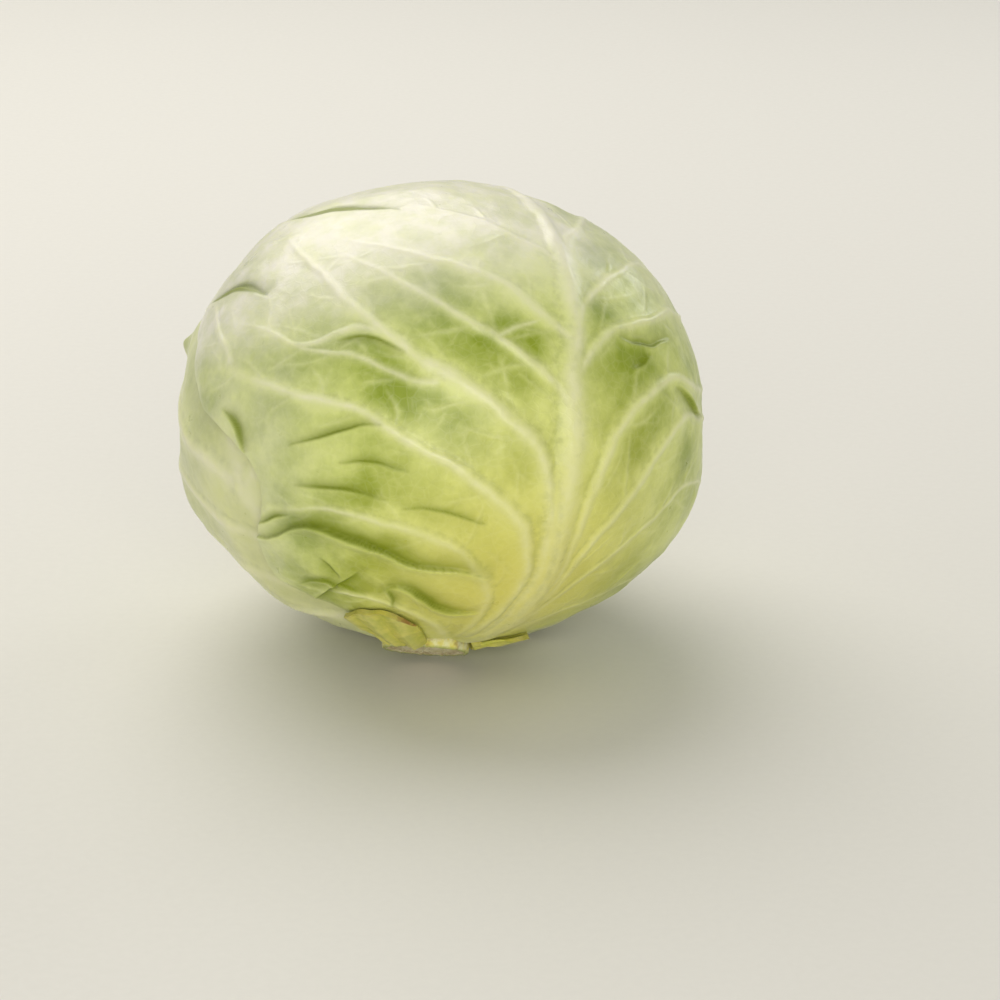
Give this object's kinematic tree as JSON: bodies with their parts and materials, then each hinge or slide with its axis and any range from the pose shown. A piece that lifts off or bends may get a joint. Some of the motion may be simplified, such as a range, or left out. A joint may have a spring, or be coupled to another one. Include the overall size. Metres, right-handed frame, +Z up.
{
  "type": "cabbage head",
  "caption": "Round head of white cabbage with overlapping wrapper leaves around a tight heart, lying at rest on a small flat spot.",
  "frame": {"origin": "on the table, under the middle of the head's box, in the flat spot it rests on", "axes": "+Z up; -Y towards the side that shows the front leaf's rib, to which the cut stem also leans; +X to the right of that view"},
  "size_m": [0.1781, 0.1734, 0.1598],
  "materials": {
    "wrapper_leaf": "waxy fresh leaf, pale green with paler raised veins",
    "under_leaf": "waxy fresh leaf, paler and more yellow than the wrappers",
    "leaf_stub": "thick leaf base with a dried brown cut edge",
    "cut_stem": "cut woody stem, cream with a paler pith and a browned rim",
    "heart_leaves": "waxy fresh leaf, cream to pale yellow-green"
  },
  "bodies": {
    "root": {"front_wrapper_leaf": "wrapper_leaf", "back_wrapper_leaf": "wrapper_leaf", "left_wrapper_leaf": "wrapper_leaf", "right_wrapper_leaf": "wrapper_leaf", "rear_left_leaf": "under_leaf", "second_front_leaf": "under_leaf", "rear_right_leaf": "under_leaf", "second_left_leaf": "under_leaf", "front_leaf_stub": "leaf_stub", "back_leaf_stub": "leaf_stub", "stem_core": "cut_stem", "tight_heart": "heart_leaves"}
  },
  "joints": []
}
